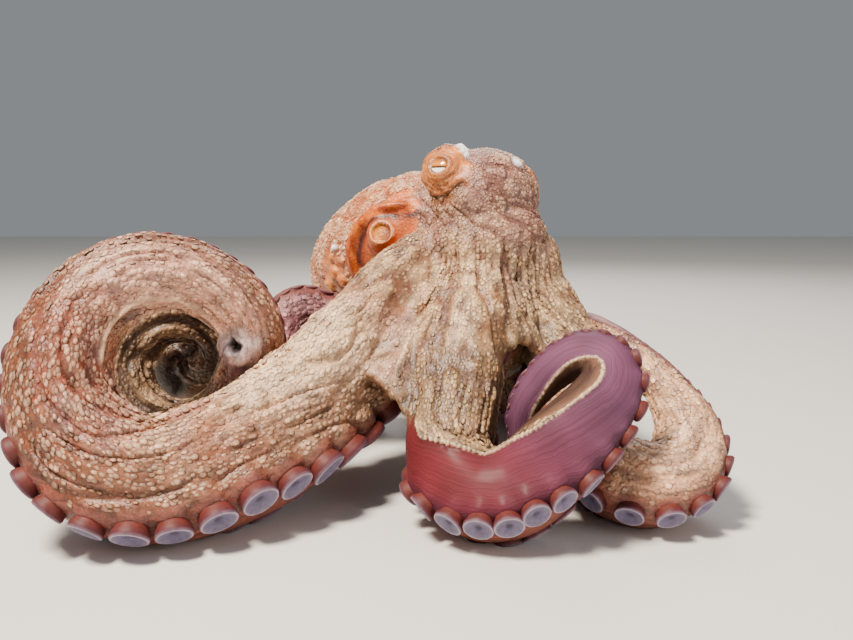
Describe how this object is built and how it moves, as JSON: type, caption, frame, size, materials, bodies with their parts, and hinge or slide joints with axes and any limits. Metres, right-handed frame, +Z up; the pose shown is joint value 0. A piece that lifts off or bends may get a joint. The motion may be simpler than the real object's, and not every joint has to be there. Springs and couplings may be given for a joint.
{
  "type": "octopus",
  "caption": "Life-size still model of a common octopus at rest, head raised and mantle hanging behind, with its front arms curled and its other arms laid on the floor.",
  "frame": {"origin": "centre of the bounding box's base, on the floor that the animal rests on", "axes": "+Z up; the animal faces between +X and -Y, and its mantle hangs towards -X and +Y"},
  "size_m": [0.3516, 0.383, 0.1827],
  "materials": {
    "skin": "wet, papillate skin mottled tan, brown and mauve",
    "funnel": "smooth, wet, orange skin",
    "eye": "glossy eyeball with a dark slit pupil"
  },
  "bodies": {
    "root": {"arm_left1_1": "skin", "arm_left1_2": "skin", "arm_left1_3": "skin", "arm_left1_4": "skin", "arm_left1_5": "skin", "arm_left2_1": "skin", "arm_left2_2": "skin", "arm_left2_3": "skin", "arm_left3_1": "skin", "arm_left3_2": "skin", "arm_left3_3": "skin", "arm_left4_1": "skin", "arm_left4_2": "skin", "arm_left4_3": "skin", "arm_right1_1": "skin", "arm_right1_2": "skin", "arm_right1_3": "skin", "arm_right1_4": "skin", "arm_right2_1": "skin", "arm_right2_2": "skin", "arm_right2_3": "skin", "arm_right2_4": "skin", "arm_right2_5": "skin", "arm_right2_6": "skin", "arm_right2_7": "skin", "arm_right2_8": "skin", "arm_right3_1": "skin", "arm_right3_2": "skin", "arm_right3_3": "skin", "arm_right3_4": "skin", "arm_right4_1": "skin", "arm_right4_2": "skin", "arm_right4_3": "skin", "crown": "skin", "eye_left": "eye", "eye_right": "eye", "funnel": "funnel", "head": "skin", "mantle": "skin"}
  },
  "joints": []
}
